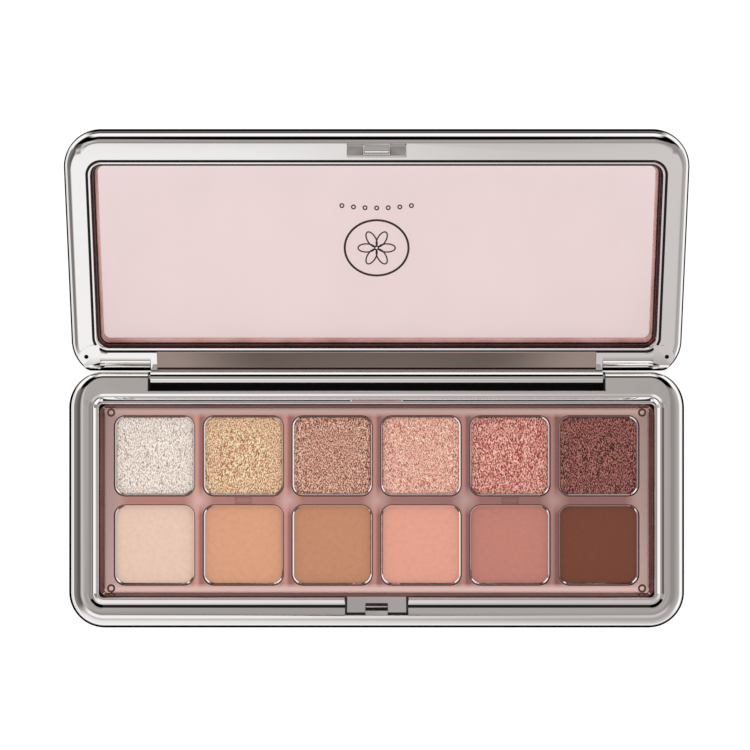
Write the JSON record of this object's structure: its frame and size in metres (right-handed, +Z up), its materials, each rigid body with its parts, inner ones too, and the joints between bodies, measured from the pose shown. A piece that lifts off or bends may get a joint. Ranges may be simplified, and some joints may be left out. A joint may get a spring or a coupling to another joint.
{
  "type": "eyeshadow palette",
  "caption": "Slim clamshell eyeshadow palette: plated case with square pans of pressed powder in a rose tray and a hinged lid with a clear rose window and a snap hook.",
  "frame": {"origin": "centre of the base's underside, on the surface it rests on", "axes": "+X along the case's width, +Y towards the hinge, +Z up; the lid stands open at rest"},
  "size_m": [0.14, 0.1119, 0.0234],
  "materials": {
    "plated_case": "mirror-bright vacuum metallised ABS",
    "rose_tray": "polished translucent rose ABS",
    "rose_window": "clear rose-tinted acrylic",
    "pan_aluminium": "bright drawn sheet",
    "pin_steel": "drawn wire",
    "adhesive": "hot-melt adhesive",
    "powder_1_shade": "pressed shimmer powder",
    "powder_2_shade": "pressed shimmer powder",
    "powder_3_shade": "pressed shimmer powder",
    "powder_4_shade": "pressed shimmer powder",
    "powder_5_shade": "pressed shimmer powder",
    "powder_6_shade": "pressed shimmer powder",
    "powder_7_shade": "pressed matte powder",
    "powder_8_shade": "pressed matte powder",
    "powder_9_shade": "pressed matte powder",
    "powder_10_shade": "pressed matte powder",
    "powder_11_shade": "pressed matte powder",
    "powder_12_shade": "pressed matte powder"
  },
  "bodies": {
    "base": {"base_shell": "plated_case", "base_cover": "plated_case", "pan_tray": "rose_tray", "pan_adhesive": "adhesive", "hinge_pin_left": "pin_steel", "hinge_pin_right": "pin_steel", "pan_1": "pan_aluminium", "pan_2": "pan_aluminium", "pan_3": "pan_aluminium", "pan_4": "pan_aluminium", "pan_5": "pan_aluminium", "pan_6": "pan_aluminium", "pan_7": "pan_aluminium", "pan_8": "pan_aluminium", "pan_9": "pan_aluminium", "pan_10": "pan_aluminium", "pan_11": "pan_aluminium", "pan_12": "pan_aluminium", "powder_1": "powder_1_shade", "powder_2": "powder_2_shade", "powder_3": "powder_3_shade", "powder_4": "powder_4_shade", "powder_5": "powder_5_shade", "powder_6": "powder_6_shade", "powder_7": "powder_7_shade", "powder_8": "powder_8_shade", "powder_9": "powder_9_shade", "powder_10": "powder_10_shade", "powder_11": "powder_11_shade", "powder_12": "powder_12_shade"},
    "lid": {"lid_frame": "plated_case", "lid_window": "rose_window"}
  },
  "joints": [
    {"name": "lid_hinge", "type": "hinge", "parent": "base", "child": "lid", "pos_m": [0, 0.0279, 0.0072], "axis": [1, 0, 0], "range_deg": [0, 163]}
  ]
}
